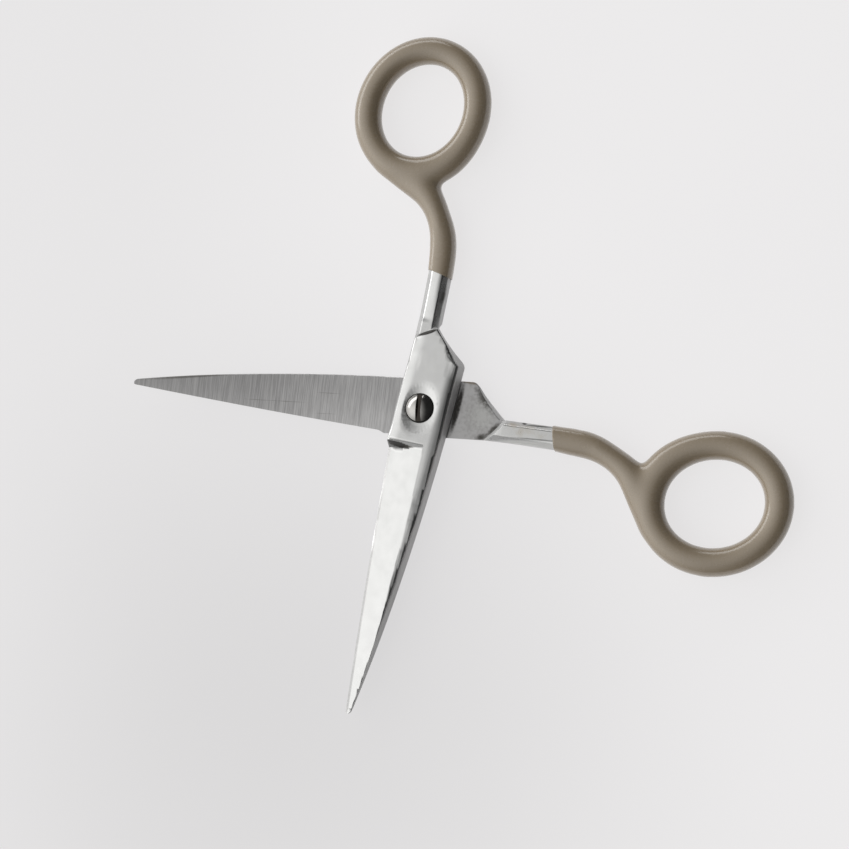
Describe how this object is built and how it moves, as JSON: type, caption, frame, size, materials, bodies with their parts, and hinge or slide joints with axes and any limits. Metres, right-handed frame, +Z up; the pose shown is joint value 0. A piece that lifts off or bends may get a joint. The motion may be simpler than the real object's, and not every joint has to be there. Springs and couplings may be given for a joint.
{
  "type": "scissors",
  "caption": "Small needlework scissors lying open: forged steel halves crossed on a slotted screw, slim pointed blades, shanks and finger rings dipped in soft taupe vinyl.",
  "frame": {"origin": "on the pivot screw's axis, in the plane of the lower half's flat underside, which the scissors lie on", "axes": "+Z up along the screw, out of its slotted head; +X along the lower blade towards its point; +Y towards that blade's cutting edge, where the upper blade points when the scissors lie open"},
  "size_m": [0.1356, 0.1357, 0.0068],
  "materials": {
    "polished_steel": "forged stainless steel, polished outside, with a fine crosswise grind on the inner and hollow faces",
    "screw_steel": "polished nickel-bright steel screw",
    "taupe_vinyl": "dip-moulded soft vinyl, satin to softly glossy"
  },
  "bodies": {
    "back_half": {"back_blade": "polished_steel", "back_grip": "taupe_vinyl", "pivot_screw": "screw_steel"},
    "front_half": {"front_blade": "polished_steel", "front_grip": "taupe_vinyl"}
  },
  "joints": [
    {"name": "pivot", "type": "hinge", "parent": "back_half", "child": "front_half", "pos_m": [0, 0, 0.00295], "axis": [0, 0, 1], "range_deg": [-82, 51]}
  ]
}
